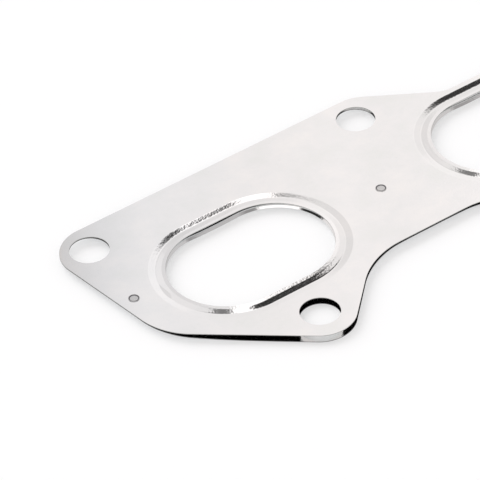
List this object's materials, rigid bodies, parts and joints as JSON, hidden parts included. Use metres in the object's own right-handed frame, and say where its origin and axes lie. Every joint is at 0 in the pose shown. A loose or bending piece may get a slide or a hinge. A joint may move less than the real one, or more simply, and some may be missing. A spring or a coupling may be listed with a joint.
{
  "type": "exhaust manifold gasket",
  "caption": "Two-layer sheet-steel exhaust manifold gasket with beaded obround ports, lobed stud holes and joining rivets.",
  "frame": {"origin": "middle of the outline in plan, at the height of the lowest port rim, which touches the surface it lies on", "axes": "+X along the row of ports, +Y towards the straight row of stud holes, +Z out of the face of the upper layer"},
  "size_m": [0.3456, 0.0767, 0.0024],
  "materials": {
    "upper_sheet": "bright rolled stainless sheet",
    "lower_sheet": "bright rolled stainless sheet",
    "rivet": "pressed stainless"
  },
  "bodies": {
    "root": {"top_layer": "upper_sheet", "bottom_layer": "lower_sheet", "rivets": "rivet"}
  },
  "joints": []
}
